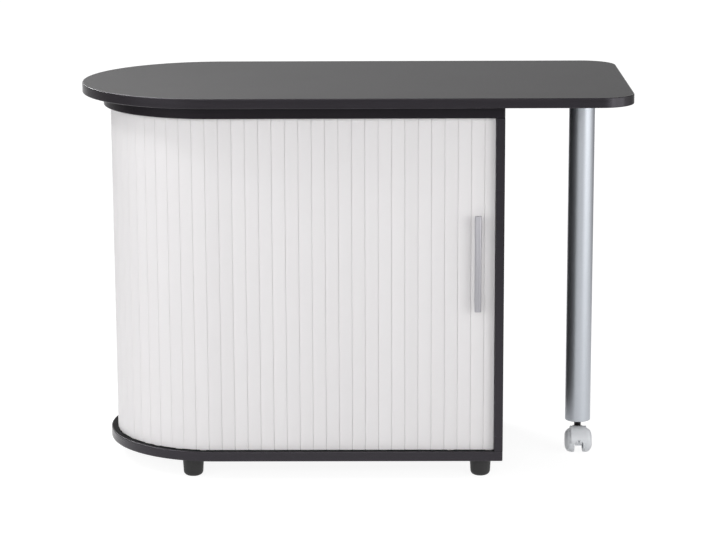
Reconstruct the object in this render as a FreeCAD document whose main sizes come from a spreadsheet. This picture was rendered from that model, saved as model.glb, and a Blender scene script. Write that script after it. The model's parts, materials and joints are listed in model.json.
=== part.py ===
import FreeCAD, Part
import Sketcher
import math
import os

# A computer desk: a D-shaped cabinet closed by a tambour of white slats, and
# over it a long desktop that swivels about the centre of the cabinet's round
# end and stands at its far end on one tube leg with a twin-wheel caster.
# Millimetres, +Z up, the front faces -Y, the floor is Z = 0, and the middle of
# the desktop lies over the origin.

doc = FreeCAD.newDocument("ComputerDesk")
V = FreeCAD.Vector

SIZES = [
    ("desk_length", 1050.0, "desktop from left to right"),
    ("desk_depth", 515.0, "desktop from front to back"),
    ("desk_height", 745.0, "floor to the writing surface"),
    ("top_thick", 19.0, "desktop board"),
    ("corner_radius", 66.0, "two right corners of the desktop"),
    ("band_thick", 2.0, "edge band of every board"),
    ("band_round", 1.0, "eased edge of a band"),
    ("swivel_gap", 6.0, "desktop above the cabinet"),
    ("cab_reach", 551.5, "pivot to the right face of the cabinet"),
    ("cab_overhang", 13.0, "cabinet boards in front of the tambour"),
    ("board_thick", 16.0, "cabinet side, partition and shelf"),
    ("lid_thick", 19.0, "cabinet top board"),
    ("base_thick", 19.0, "cabinet base board"),
    ("back_thick", 8.0, "back board"),
    ("back_space", 2.0, "tambour groove to the back board"),
    ("inner_setback", 42.0, "partition and shelf behind the tambour's face"),
    ("foot_height", 38.0, "floor to the base board"),
    ("foot_top_d", 41.5, "foot at the base board"),
    ("foot_bottom_d", 38.0, "foot just above its round edge"),
    ("foot_round", 9.0, "round lower edge of a foot"),
    ("foot_inset", 43.0, "foot axis behind the front edge of the base"),
    ("tambour_radius", 204.0, "outer face of the slats on the bend"),
    ("slat_pitch", 25.0, "one slat and one joint"),
    ("slat_thick", 6.0, "slat from face to back"),
    ("slat_gap", 1.1, "joint between two slats"),
    ("slat_lip", 1.4, "face lip over the tongue of the next slat"),
    ("slat_play", 0.7, "slat ends above and below"),
    ("slat_side", 0.5, "lead strip to the side board"),
    ("lead_width", 20.5, "lead strip beside the side board"),
    ("groove_depth", 5.0, "tambour groove in the base and the top"),
    ("groove_side", 0.6, "groove wider than a slat on either side"),
    ("guide_height", 3.5, "guide tongue in the groove"),
    ("handle_length", 184.0, "bar handle"),
    ("handle_width", 12.5, "bar handle from left to right"),
    ("handle_deep", 9.0, "bar handle from front to back"),
    ("handle_stand", 14.0, "finger room behind the bar"),
    ("handle_centre", 425.0, "middle of the bar above the floor"),
    ("leg_reach", 711.0, "pivot to the leg"),
    ("leg_d", 50.0, "leg tube"),
    ("leg_wall", 1.5, "wall of the leg tube"),
    ("leg_rim", 61.0, "lower rim of the leg tube"),
    ("leg_ease", 1.2, "rounding of the lower rim"),
    ("plate_side", 100.0, "leg plate, square"),
    ("plate_thick", 3.0, "leg plate"),
    ("wheel_d", 48.0, "caster wheel"),
    ("wheel_width", 18.3, "caster wheel"),
    ("wheel_space", 16.4, "between the two wheels"),
    ("wheel_round", 13.0, "dome of a wheel's outer side"),
    ("trail", 22.0, "caster axle in front of its stem"),
    ("hood_width", 32.0, "caster hood, over the treads of both wheels"),
    ("hood_thick", 3.0, "caster hood shell"),
    ("hood_space", 1.2, "hood shell above the wheels"),
    ("hood_ease", 1.0, "rounded edges of the hood shell"),
    ("stem_d", 9.0, "caster stem"),
    ("neck_d", 13.5, "caster neck"),
    ("neck_low", 46.5, "underside of the neck"),
    ("pivot_d", 12.0, "swivel bolt"),
    ("shelf_rise", 316.0, "base board to the underside of the shelf"),
    ("drum_space", 5.5, "coiled tambour to the partition"),
    ("run_fit", 0.05, "radial clearance of a turning fit"),
]

sheet = doc.addObject("Spreadsheet::Sheet", "Sizes")


def text_of(value):
    """Expression of a size, or a plain number written out."""
    return value.text if isinstance(value, Size) else repr(float(value))


class Size(float):
    """A number worked out from the sheet, which keeps its expression.

    Sums, differences, products and quotients of sizes are sizes again, so all
    that is made from them can be bound to the sheet.
    """

    def __new__(cls, value, text):
        made = super().__new__(cls, value)
        made.text = text
        return made

    def __neg__(self):
        return Size(-float(self), "(-%s)" % self.text)

    def __add__(self, other):
        return Size(float(self) + float(other), "(%s + %s)" % (self.text, text_of(other)))

    def __sub__(self, other):
        return Size(float(self) - float(other), "(%s - %s)" % (self.text, text_of(other)))

    def __rsub__(self, other):
        return Size(float(other) - float(self), "(%s - %s)" % (text_of(other), self.text))

    def __mul__(self, other):
        return Size(float(self) * float(other), "(%s * %s)" % (self.text, text_of(other)))

    def __truediv__(self, other):
        return Size(float(self) / float(other), "(%s / %s)" % (self.text, text_of(other)))

    __radd__ = __add__
    __rmul__ = __mul__


S = {}
for row, (alias, value, note) in enumerate(SIZES, start=1):
    sheet.set("A%d" % row, note)
    sheet.set("B%d" % row, repr(value))
    sheet.setAlias("B%d" % row, alias)
    S[alias] = Size(value, "Sizes." + alias)
doc.recompute()

PIVOT_X = -S["desk_length"] / 2 + S["desk_depth"] / 2
LEG_X = PIVOT_X + S["leg_reach"]
HALF_DEPTH = S["desk_depth"] / 2
TOP_LOW = S["desk_height"] - S["top_thick"]
LID_HIGH = TOP_LOW - S["swivel_gap"]
LID_LOW = LID_HIGH - S["lid_thick"]
BASE_LOW = S["foot_height"]
BASE_HIGH = BASE_LOW + S["base_thick"]
SLAT_R = S["tambour_radius"]
CAB_R = SLAT_R + S["cab_overhang"]
CAB_RIGHT = PIVOT_X + S["cab_reach"]
SIDE_IN = CAB_RIGHT - S["board_thick"]
SLAT_LOW = BASE_HIGH + S["slat_play"]
SLAT_HIGH = LID_LOW - S["slat_play"]
PART_X = PIVOT_X + SLAT_R + S["drum_space"] + S["board_thick"] / 2
PART_RIGHT = PART_X + S["board_thick"] / 2
INNER_FRONT = -SLAT_R + S["inner_setback"]
BACK_IN = SLAT_R + S["groove_side"] + S["back_space"]
SHELF_LOW = BASE_HIGH + S["shelf_rise"]
AXLE_Y = -S["trail"]
AXLE_Z = S["wheel_d"] / 2

MEET = 1e-6
LEAST_CUT = 0.5
NODES = []


def keep(obj):
    """Put an object on the list of pieces that are written."""
    NODES.append(obj)
    return obj


def new_body(name):
    """An empty body, named after its piece."""
    body = doc.addObject("PartDesign::Body", name)
    body.Label = name
    return body


def origin_plane(body, role):
    """One of the body's own three origin planes."""
    for feature in body.Origin.OriginFeatures:
        if feature.Role == role:
            return feature
    raise ValueError(role)


def bind(obj, **sizes):
    """Give an object its sizes, each by its expression."""
    for name, value in sizes.items():
        obj.setExpression(name, text_of(value))


def place(obj, foot, turn=FreeCAD.Rotation()):
    """Stand an object at a point that follows the sheet, with a turn of its own."""
    obj.Placement = FreeCAD.Placement(V(*foot), turn)
    for axis, value in zip("xyz", foot):
        if isinstance(value, Size):
            obj.setExpression("Placement.Base." + axis, value.text)


def sketch(body, role, offset, items):
    """A sketch of lines, arcs and circles, at an offset along the plane's normal."""
    sk = body.newObject("Sketcher::SketchObject", body.Name + "_sketch")
    sk.AttachmentSupport = (origin_plane(body, role), [""])
    sk.MapMode = "FlatFace"
    sk.setExpression("AttachmentOffset.Base.z", text_of(offset))
    from_sheet = False
    for kind, (x0, y0), *rest in items:
        if kind == "line":
            x1, y1 = rest[0]
            sk.addGeometry(Part.LineSegment(V(x0, y0, 0), V(x1, y1, 0)), False)
        elif kind == "circle":
            sk.addGeometry(Part.Circle(V(x0, y0, 0), V(0, 0, 1), rest[0]), False)
        else:
            circle = Part.Circle(V(x0, y0, 0), V(0, 0, 1), rest[0])
            arc = Part.ArcOfCircle(circle, math.radians(rest[1]), math.radians(rest[2]))
            sk.addGeometry(arc, False)
        from_sheet = from_sheet or isinstance(x0, Size) or isinstance(rest[0], Size)
    if from_sheet:
        bind_sketch(sk, items)
    doc.recompute()
    return sk


START, END, CENTRE = 1, 2, 3


def bind_sketch(sk, items):
    """Hold the corners, centres and diameters of a sketch at their sizes, and join the ends that meet."""
    ends = []
    holds = []
    for number, (kind, first, *rest) in enumerate(items):
        if kind == "line":
            ends += [(number, START, *first), (number, END, *rest[0])]
        else:
            holds.append(("DistanceX", number, CENTRE, first[0]))
        if kind == "circle":
            holds += [("DistanceY", number, CENTRE, first[1]), ("Diameter", number, 2 * rest[0])]
    for number in [number for number, item in enumerate(items) if item[0] == "arc"]:
        for end in (START, END):
            point = sk.getPoint(number, end)
            ends.append((number, end, point.x, point.y))
    corners = []
    for number, end, x, y in ends:
        met = [corner[:2] for corner in corners if math.dist(corner[2:], (x, y)) < MEET]
        if met:
            sk.addConstraint(Sketcher.Constraint("Coincident", number, end, *met[0]))
        else:
            corners.append((number, end, x, y))
            holds += [("DistanceX", number, end, x), ("DistanceY", number, end, y)]
    for *what, value in holds:
        added = sk.addConstraint(Sketcher.Constraint(*what, float(value)))
        if isinstance(value, Size):
            sk.setExpression("Constraints[%d]" % added, value.text)


def pad(body, profile, length):
    """Material added from a sketch along its normal."""
    feature = body.newObject("PartDesign::Pad", body.Name + "_pad")
    feature.Profile = profile
    bind(feature, Length=length)
    profile.Visibility = False
    doc.recompute()
    return feature


def pocket(body, profile, length, forward=False):
    """Material taken from behind a sketch, or in front of it with forward."""
    before = body.Shape.Volume
    feature = body.newObject("PartDesign::Pocket", body.Name + "_pocket")
    feature.Profile = profile
    bind(feature, Length=length)
    feature.Reversed = forward
    doc.recompute()
    if body.Shape.Volume > before - LEAST_CUT:
        raise RuntimeError(body.Label + ": a pocket took nothing away")
    return feature


def revolve(body, profile, axis, angle=360.0):
    """A solid turned about one of the sketch's own axes."""
    feature = body.newObject("PartDesign::Revolution", body.Name + "_turn")
    feature.Profile = profile
    feature.ReferenceAxis = (profile, [axis])
    feature.Angle = angle
    doc.recompute()
    return feature


def polygon(points):
    """Closed chain of straight lines through the points."""
    ends = points[1:] + points[:1]
    return [("line", a, b) for a, b in zip(points, ends)]


def board_d(inset):
    """D-shaped plan of the cabinet boards, drawn in by an inset."""
    r = CAB_R - inset
    x1 = CAB_RIGHT - inset
    return [
        ("line", (PIVOT_X, r), (x1, r)),
        ("line", (x1, r), (x1, -r)),
        ("line", (x1, -r), (PIVOT_X, -r)),
        ("arc", (PIVOT_X, 0.0), r, 90.0, 270.0),
    ]


def board_top(inset):
    """Plan of the desktop: a half-round left end and two rounded right corners."""
    r = HALF_DEPTH - inset
    x1 = S["desk_length"] / 2 - inset
    c = S["corner_radius"] - inset
    return [
        ("arc", (PIVOT_X, 0.0), r, 90.0, 270.0),
        ("line", (PIVOT_X, -r), (x1 - c, -r)),
        ("arc", (x1 - c, -r + c), c, 270.0, 360.0),
        ("line", (x1, -r + c), (x1, r - c)),
        ("arc", (x1 - c, r - c), c, 0.0, 90.0),
        ("line", (x1 - c, r), (PIVOT_X, r)),
    ]


GROOVE_OUT = SLAT_R + S["groove_side"]
GROOVE_IN = SLAT_R - S["slat_thick"] - S["groove_side"]


def groove_ring():
    """Round part of the tambour groove, a full ring about the pivot."""
    return [("circle", (PIVOT_X, 0.0), GROOVE_OUT), ("circle", (PIVOT_X, 0.0), GROOVE_IN)]


def groove_front():
    """Straight part of the tambour groove, along the front to the side board."""
    corners = [(PIVOT_X, -GROOVE_OUT), (SIDE_IN, -GROOVE_OUT), (SIDE_IN, -GROOVE_IN), (PIVOT_X, -GROOVE_IN)]
    return polygon(corners)


def box(name, low, high):
    """Rectangular board between two corners."""
    obj = doc.addObject("Part::Box", name)
    obj.Label = name
    bind(obj, Length=high[0] - low[0], Width=high[1] - low[1], Height=high[2] - low[2])
    place(obj, low)
    return obj


def rod(name, radius, height, foot, axis=(0, 0, 1)):
    """Round rod from its foot along an axis."""
    obj = doc.addObject("Part::Cylinder", name)
    obj.Label = name
    bind(obj, Radius=radius, Height=height)
    place(obj, foot, FreeCAD.Rotation(V(0, 0, 1), V(*axis)))
    return obj


def fuse(name, shapes):
    """Several shapes made into one solid."""
    obj = doc.addObject("Part::MultiFuse", name)
    obj.Label = name
    obj.Shapes = shapes
    return obj


def cut(name, base, tools):
    """A shape with others taken out of it."""
    tool = tools[0]
    if len(tools) > 1:
        tool = doc.addObject("Part::Compound", name + "_tools")
        tool.Links = tools
    obj = doc.addObject("Part::Cut", name)
    obj.Label = name
    obj.Base = base
    obj.Tool = tool
    return obj


def gather(name, shapes):
    """Several separate pieces of one kind in one file."""
    obj = doc.addObject("Part::Compound", name)
    obj.Label = name
    obj.Links = shapes
    return obj


# Boards of the cabinet. The base and the lid have the same D-shaped plan, and
# a groove for the tambour runs along the front and then in a ring about the
# pivot, in the face that each turns to the other.
FOOT_Y = CAB_R - S["foot_inset"]
FOOT_LEFT = PIVOT_X - 43.5
FOOT_RIGHT = SIDE_IN - 25.0
FEET = {
    "foot_front_left": (FOOT_LEFT, -FOOT_Y),
    "foot_front_right": (FOOT_RIGHT, -FOOT_Y),
    "foot_rear_left": (FOOT_LEFT, FOOT_Y),
    "foot_rear_right": (FOOT_RIGHT, FOOT_Y),
}
SCREW_R = 3.0
HEAD_R = 5.0
HEAD_H = 3.0
SOCKET_R = 2.3
SOCKET_DEEP = 2.0
SCREW_IN = 40.0
SCREW_FIT = 0.05
SIDE_MID = (SIDE_IN + CAB_RIGHT) / 2
SIDE_SCREW_YS = (-150.0, 0.0, 150.0)
PART_SCREW_YS = (-100.0, 140.0)
SIDE_SCREWS = [(SIDE_MID, y) for y in SIDE_SCREW_YS]
PART_SCREWS = [(PART_X, y) for y in PART_SCREW_YS]
SCREWS = SIDE_SCREWS + PART_SCREWS
FOOT_SCREW_R = 2.2
SMALL_HEAD_R = 4.2

base = new_body("base_panel")
pad(base, sketch(base, "XY_Plane", BASE_LOW, board_d(S["band_thick"])), S["base_thick"])
pocket(base, sketch(base, "XY_Plane", BASE_HIGH, groove_ring()), S["groove_depth"])
pocket(base, sketch(base, "XY_Plane", BASE_HIGH, groove_front()), S["groove_depth"])
holes = [("circle", spot, SCREW_R + SCREW_FIT) for spot in SCREWS]
holes += [("circle", spot, FOOT_SCREW_R + SCREW_FIT) for spot in FEET.values()]
pocket(base, sketch(base, "XY_Plane", BASE_LOW, holes), S["base_thick"], True)
sinks = [("circle", spot, HEAD_R + SCREW_FIT) for spot in SCREWS]
pocket(base, sketch(base, "XY_Plane", BASE_LOW, sinks), HEAD_H, True)
keep(base)


def band(name, plan, low, height):
    """Edge band all round a board, its two outer edges eased."""
    body = new_body(name)
    ring = sketch(body, "XY_Plane", low, plan(0.0) + plan(S["band_thick"]))
    strip = pad(body, ring, height)
    z0 = strip.Shape.BoundBox.ZMin
    z1 = strip.Shape.BoundBox.ZMax
    edges = []
    for number, edge in enumerate(strip.Shape.Edges, start=1):
        mid = edge.valueAt((edge.FirstParameter + edge.LastParameter) / 2)
        flat = abs(edge.BoundBox.ZLength) < 1e-6 and min(abs(mid.z - z0), abs(mid.z - z1)) < 1e-6
        wire = plan_gap(plan, mid)
        if flat and wire < 0.01:
            edges.append("Edge%d" % number)
    ease = body.newObject("PartDesign::Fillet", name + "_ease")
    ease.Base = (strip, edges)
    bind(ease, Radius=S["band_round"])
    strip.Visibility = False
    doc.recompute()
    return keep(body)


def plan_gap(plan, point):
    """Distance in plan from a point to a board's outline."""
    spot = Part.Vertex(V(point.x, point.y, 0))
    best = 1e9
    for item in plan(0.0):
        if item[0] == "line":
            edge = Part.LineSegment(V(*item[1], 0), V(*item[2], 0)).toShape()
        else:
            circle = Part.Circle(V(*item[1], 0), V(0, 0, 1), item[2])
            edge = Part.ArcOfCircle(circle, math.radians(item[3]), math.radians(item[4])).toShape()
        best = min(best, edge.distToShape(spot)[0])
    return best


band("base_edge_band", board_d, BASE_LOW, S["base_thick"])

BUSH_R = 11.0
lid = new_body("cabinet_top_panel")
pad(lid, sketch(lid, "XY_Plane", LID_LOW, board_d(S["band_thick"])), S["lid_thick"])
pocket(lid, sketch(lid, "XY_Plane", LID_LOW, groove_ring()), S["groove_depth"], True)
pocket(lid, sketch(lid, "XY_Plane", LID_LOW, groove_front()), S["groove_depth"], True)
holes = [("circle", spot, SCREW_R + SCREW_FIT) for spot in SCREWS]
holes += [("circle", (PIVOT_X, 0.0), BUSH_R + SCREW_FIT)]
pocket(lid, sketch(lid, "XY_Plane", LID_HIGH, holes), S["lid_thick"])
sinks = [("circle", spot, HEAD_R + SCREW_FIT) for spot in SCREWS]
pocket(lid, sketch(lid, "XY_Plane", LID_HIGH, sinks), HEAD_H)
keep(lid)
band("cabinet_top_edge_band", board_d, LID_LOW, S["lid_thick"])

# Upright boards. The side board closes the flat right end; the partition keeps
# what is stored away from the tambour where it coils.
PIN_R = 2.5
PIN_IN = 8.0
PIN_OUT = 9.0
PIN_Z = SHELF_LOW - PIN_R
PIN_YS = (-110.0, 150.0)


def pilot_rods(name, spots):
    """Pilot holes for the screws at both ends of an upright board."""
    rods = []
    for number, (x, y) in enumerate(spots):
        low = rod("%s_low_%d" % (name, number), SCREW_R + SCREW_FIT, SCREW_IN, (x, y, BASE_HIGH))
        high = rod("%s_high_%d" % (name, number), SCREW_R + SCREW_FIT, SCREW_IN, (x, y, LID_LOW - SCREW_IN))
        rods += [low, high]
    return rods


def pin_rods(name, x, step):
    """Blind holes for the shelf pins in one upright board."""
    return [
        rod("%s_pin_%d" % (name, number), PIN_R + SCREW_FIT, PIN_IN, (x, y, PIN_Z), (step, 0, 0))
        for number, y in enumerate(PIN_YS)
    ]


side_raw = box(
    "side_board", (SIDE_IN, -CAB_R + S["band_thick"], BASE_HIGH), (CAB_RIGHT, CAB_R, LID_LOW)
)
side_holes = pilot_rods("side", SIDE_SCREWS) + pin_rods("side", SIDE_IN, 1)
keep(cut("side_panel", side_raw, side_holes))
keep(box(
    "side_panel_edge_band", (SIDE_IN, -CAB_R, BASE_HIGH), (CAB_RIGHT, -CAB_R + S["band_thick"], LID_LOW)
))
part_raw = box(
    "partition_board", (PART_X - S["board_thick"] / 2, INNER_FRONT, BASE_HIGH), (PART_RIGHT, BACK_IN, LID_LOW)
)
part_holes = pilot_rods("partition", PART_SCREWS) + pin_rods("partition", PART_RIGHT, -1)
keep(cut("partition", part_raw, part_holes))
keep(box(
    "back_panel", (PIVOT_X, BACK_IN, BASE_HIGH), (SIDE_IN, BACK_IN + S["back_thick"], LID_LOW)
))
SHELF_PLAY = 0.3
SHELF_BEHIND = 4.0
keep(box(
    "shelf",
    (PART_RIGHT + SHELF_PLAY, INNER_FRONT + SHELF_BEHIND, SHELF_LOW),
    (SIDE_IN - SHELF_PLAY, BACK_IN - SHELF_PLAY, SHELF_LOW + S["board_thick"]),
))
pins = []
for y in PIN_YS:
    length = PIN_IN + PIN_OUT
    pins.append(rod("pin_left_%d" % y, PIN_R, length, (PART_RIGHT - PIN_IN, y, PIN_Z), (1, 0, 0)))
    pins.append(rod("pin_right_%d" % y, PIN_R, length, (SIDE_IN + PIN_IN, y, PIN_Z), (-1, 0, 0)))
keep(gather("shelf_pins", pins))


def socket(name, foot, step):
    """Six-sided key socket sunk into a screw's head."""
    obj = doc.addObject("Part::Prism", name)
    obj.Polygon = 6
    bind(obj, Circumradius=SOCKET_R, Height=SOCKET_DEEP)
    place(obj, foot, FreeCAD.Rotation(V(0, 0, 1), V(0, 0, step)))
    return obj


screws = []
for number, (x, y) in enumerate(SCREWS):
    for end, z0, step in (("low", BASE_LOW, 1), ("high", LID_HIGH, -1)):
        name = "screw_%s_%d" % (end, number)
        board = S["base_thick"] if end == "low" else S["lid_thick"]
        head = rod(name + "_head", HEAD_R, HEAD_H, (x, y, z0), (0, 0, step))
        shank = rod(name + "_shank", SCREW_R, board + SCREW_IN, (x, y, z0), (0, 0, step))
        whole = fuse(name + "_whole", [head, shank])
        screws.append(cut(name, whole, [socket(name + "_socket", (x, y, z0), step)]))
keep(gather("board_screws", screws))

# Feet: tapered, with a round lower edge and a sunk screw up into the base.
WELL_R = 6.0
WELL_H = 22.0
WOOD_IN = 15.0
FOOT_HEAD_H = 3.0
foot_screws = []
for name, (x, y) in FEET.items():
    foot = new_body(name)
    place(foot, (x, y, 0))
    r0 = S["foot_bottom_d"] / 2
    r1 = S["foot_top_d"] / 2
    rr = S["foot_round"]
    hole = FOOT_SCREW_R + SCREW_FIT
    profile = [
        ("line", (WELL_R, 0.0), (r0 - rr, 0.0)),
        ("arc", (r0 - rr, rr), rr, 270.0, 360.0),
        ("line", (r0, rr), (r1, S["foot_height"])),
        ("line", (r1, S["foot_height"]), (hole, S["foot_height"])),
        ("line", (hole, S["foot_height"]), (hole, WELL_H)),
        ("line", (hole, WELL_H), (WELL_R, WELL_H)),
        ("line", (WELL_R, WELL_H), (WELL_R, 0.0)),
    ]
    revolve(foot, sketch(foot, "XZ_Plane", 0, profile), "V_Axis")
    keep(foot)
    head_low = WELL_H - FOOT_HEAD_H
    head = rod(name + "_head", SMALL_HEAD_R, FOOT_HEAD_H, (x, y, head_low))
    shank = rod(name + "_shank", FOOT_SCREW_R, S["foot_height"] + WOOD_IN - head_low, (x, y, head_low))
    foot_screws.append(fuse(name + "_screw", [head, shank]))
keep(gather("foot_screws", foot_screws))

# Swivel: a flanged bush in the lid, a bolt that turns with the desktop, and
# glide pads that carry the desktop over the lid.
FLANGE_R = 24.0
bush = new_body("pivot_bush")
bore = S["pivot_d"] / 2 + S["run_fit"]
profile = [
    ("line", (bore, LID_LOW), (BUSH_R, LID_LOW)),
    ("line", (BUSH_R, LID_LOW), (BUSH_R, LID_HIGH)),
    ("line", (BUSH_R, LID_HIGH), (FLANGE_R, LID_HIGH)),
    ("line", (FLANGE_R, LID_HIGH), (FLANGE_R, TOP_LOW)),
    ("line", (FLANGE_R, TOP_LOW), (bore, TOP_LOW)),
    ("line", (bore, TOP_LOW), (bore, LID_LOW)),
]
place(bush, (PIVOT_X, 0, 0))
revolve(bush, sketch(bush, "XZ_Plane", 0, profile), "V_Axis")
keep(bush)

PAD_R = 14.0
PAD_ROUND = 150.0
PAD_X = SIDE_IN - 60.0
PAD_Y = 160.0
PADS = [(PIVOT_X - PAD_ROUND, 0.0), (PIVOT_X, PAD_ROUND), (PIVOT_X, -PAD_ROUND)]
PADS += [(PAD_X, PAD_Y), (PAD_X, -PAD_Y)]
pads = [rod("pad_%d" % i, PAD_R, S["swivel_gap"], (x, y, LID_HIGH)) for i, (x, y) in enumerate(PADS)]
keep(gather("glide_pads", pads))

WASHER_R = 17.0
WASHER_H = 2.5
WASHER_PLAY = 0.2
BOLT_HEAD_R = 10.4
BOLT_HEAD_H = 7.0
BOLT_IN = 13.0
washer_top = LID_LOW - WASHER_PLAY
washer = new_body("pivot_washer")
place(washer, (PIVOT_X, 0, 0))
ring = [("circle", (0.0, 0.0), WASHER_R), ("circle", (0.0, 0.0), S["pivot_d"] / 2 + SCREW_FIT)]
pad(washer, sketch(washer, "XY_Plane", washer_top - WASHER_H, ring), WASHER_H)
keep(washer)

bolt = new_body("pivot_bolt")
place(bolt, (PIVOT_X, 0, 0))
head_low = washer_top - WASHER_H - BOLT_HEAD_H
angles = [math.radians(60 * side) for side in range(6)]
hexagon = [(BOLT_HEAD_R * math.cos(angle), BOLT_HEAD_R * math.sin(angle)) for angle in angles]
pad(bolt, sketch(bolt, "XY_Plane", head_low, polygon(hexagon)), BOLT_HEAD_H)
shank = sketch(bolt, "XY_Plane", head_low, [("circle", (0.0, 0.0), S["pivot_d"] / 2)])
pad(bolt, shank, TOP_LOW + BOLT_IN - head_low)
keep(bolt)

# Desktop board with its band, the leg plate under its right end, the tube leg.
PLATE_SCREW_INSET = 11.0
PLATE_SCREW_R = 2.2
PLATE_HEAD_H = 2.4
PLATE_CORNER = 12.0
aside = S["plate_side"] / 2 - PLATE_SCREW_INSET
PLATE_SPOTS = [(LEG_X + sx * aside, sy * aside) for sx in (-1, 1) for sy in (-1, 1)]
top = new_body("desktop")
pad(top, sketch(top, "XY_Plane", TOP_LOW, board_top(S["band_thick"])), S["top_thick"])
holes = [("circle", (PIVOT_X, 0.0), S["pivot_d"] / 2 + SCREW_FIT)]
holes += [("circle", spot, PLATE_SCREW_R + SCREW_FIT) for spot in PLATE_SPOTS]
pocket(top, sketch(top, "XY_Plane", TOP_LOW, holes), BOLT_IN, True)
keep(top)
band("desktop_edge_band", board_top, TOP_LOW, S["top_thick"])

plate = new_body("leg_plate")
half = S["plate_side"] / 2
soft = PLATE_CORNER
outline = [
    ("line", (LEG_X - half + soft, -half), (LEG_X + half - soft, -half)),
    ("arc", (LEG_X + half - soft, -half + soft), soft, 270.0, 360.0),
    ("line", (LEG_X + half, -half + soft), (LEG_X + half, half - soft)),
    ("arc", (LEG_X + half - soft, half - soft), soft, 0.0, 90.0),
    ("line", (LEG_X + half - soft, half), (LEG_X - half + soft, half)),
    ("arc", (LEG_X - half + soft, half - soft), soft, 90.0, 180.0),
    ("line", (LEG_X - half, half - soft), (LEG_X - half, -half + soft)),
    ("arc", (LEG_X - half + soft, -half + soft), soft, 180.0, 270.0),
]
outline += [("circle", spot, PLATE_SCREW_R + SCREW_FIT) for spot in PLATE_SPOTS]
PLATE_LOW = TOP_LOW - S["plate_thick"]
pad(plate, sketch(plate, "XY_Plane", PLATE_LOW, outline), S["plate_thick"])
keep(plate)
plate_screws = []
for number, (x, y) in enumerate(PLATE_SPOTS):
    head = rod("plate_head_%d" % number, SMALL_HEAD_R, PLATE_HEAD_H, (x, y, PLATE_LOW), (0, 0, -1))
    shank = rod("plate_shank_%d" % number, PLATE_SCREW_R, S["plate_thick"] + BOLT_IN, (x, y, PLATE_LOW))
    plate_screws.append(fuse("plate_screw_%d" % number, [head, shank]))
keep(gather("leg_plate_screws", plate_screws))

leg = new_body("leg_tube")
LEG_IN_R = S["leg_d"] / 2 - S["leg_wall"]
ring = [("circle", (LEG_X, 0.0), S["leg_d"] / 2), ("circle", (LEG_X, 0.0), LEG_IN_R)]
tube = pad(leg, sketch(leg, "XY_Plane", S["leg_rim"], ring), PLATE_LOW - S["leg_rim"])
rims = []
for number, edge in enumerate(tube.Shape.Edges, start=1):
    low = edge.BoundBox.ZMax < S["leg_rim"] + S["leg_ease"]
    if low and edge.BoundBox.XLength > S["leg_d"] - S["leg_wall"]:
        rims.append("Edge%d" % number)
ease = leg.newObject("PartDesign::Fillet", "leg_tube_ease")
ease.Base = (tube, rims)
bind(ease, Radius=S["leg_ease"])
tube.Visibility = False
doc.recompute()
keep(leg)

PLUG_H = 36.0
PLUG_SET = 0.5
plug = new_body("leg_plug")
ring = [("circle", (LEG_X, 0.0), LEG_IN_R), ("circle", (LEG_X, 0.0), S["stem_d"] / 2 + S["run_fit"])]
pad(plug, sketch(plug, "XY_Plane", S["leg_rim"] + PLUG_SET, ring), PLUG_H)
keep(plug)

# Caster: a stem with a wider neck, two wheels whose outer sides are domes, and
# between the domes a hood, part of a ring about the axle, on a web that carries
# the axle and a boss that takes the stem.
STEM_IN = 32.0
STEM_DEEP = 10.0
stem = new_body("caster_stem")
place(stem, (LEG_X, 0, 0))
neck_r = S["neck_d"] / 2
stem_r = S["stem_d"] / 2
STEM_LOW = S["neck_low"] - STEM_DEEP
profile = polygon([
    (0.0, STEM_LOW),
    (stem_r, STEM_LOW),
    (stem_r, S["neck_low"]),
    (neck_r, S["neck_low"]),
    (neck_r, S["leg_rim"]),
    (stem_r, S["leg_rim"]),
    (stem_r, S["leg_rim"] + STEM_IN),
    (0.0, S["leg_rim"] + STEM_IN),
])
revolve(stem, sketch(stem, "XZ_Plane", 0, profile), "V_Axis")
keep(stem)

WHEEL_R = S["wheel_d"] / 2
WHEEL_IN = S["wheel_space"] / 2
WHEEL_OUT = WHEEL_IN + S["wheel_width"]
AXLE_R = 4.0
HUB_R = 8.0
CAP_R = 6.5
CAP_DEEP = 0.8
CAP_WALL = 2.8
TREAD_EASE = 1.5
RIM_WALL = 4.0
HOLLOW = 9.5
AXLE_PLAY = 0.2
AXLE_HALF = WHEEL_OUT - CAP_WALL - AXLE_PLAY
WEB_PLAY = 1.7
WEB_HALF = WHEEL_IN - WEB_PLAY
HOOD_IN = WHEEL_R + S["hood_space"]
HOOD_R = HOOD_IN + S["hood_thick"]


def wheel(name, side):
    """One wheel: a tread, a domed outer side with a sunk hub cap, and a hollow inner side."""
    body = new_body(name)
    turn = FreeCAD.Rotation(V(0, 0, 1), 0 if side > 0 else 180)
    place(body, (LEG_X, AXLE_Y, AXLE_Z), turn)
    dome = S["wheel_round"]
    bore_r = AXLE_R + S["run_fit"]
    bore_end = WHEEL_OUT - CAP_WALL
    inner = [
        (WHEEL_IN + TREAD_EASE, WHEEL_R),
        (WHEEL_IN, WHEEL_R - TREAD_EASE),
        (WHEEL_IN, WHEEL_R - RIM_WALL),
        (WHEEL_IN + HOLLOW, WHEEL_R - RIM_WALL),
        (WHEEL_IN + HOLLOW, HUB_R),
        (WHEEL_IN, HUB_R),
        (WHEEL_IN, bore_r),
        (bore_end, bore_r),
        (bore_end, 0.0),
        (WHEEL_OUT - CAP_DEEP, 0.0),
        (WHEEL_OUT - CAP_DEEP, CAP_R),
        (WHEEL_OUT, CAP_R),
        (WHEEL_OUT, WHEEL_R - dome),
    ]
    profile = [("line", a, b) for a, b in zip(inner, inner[1:])]
    profile.append(("arc", (WHEEL_OUT - dome, WHEEL_R - dome), dome, 0.0, 90.0))
    profile.append(("line", (WHEEL_OUT - dome, WHEEL_R), inner[0]))
    revolve(body, sketch(body, "XY_Plane", 0, profile), "H_Axis")
    return keep(body)


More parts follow.
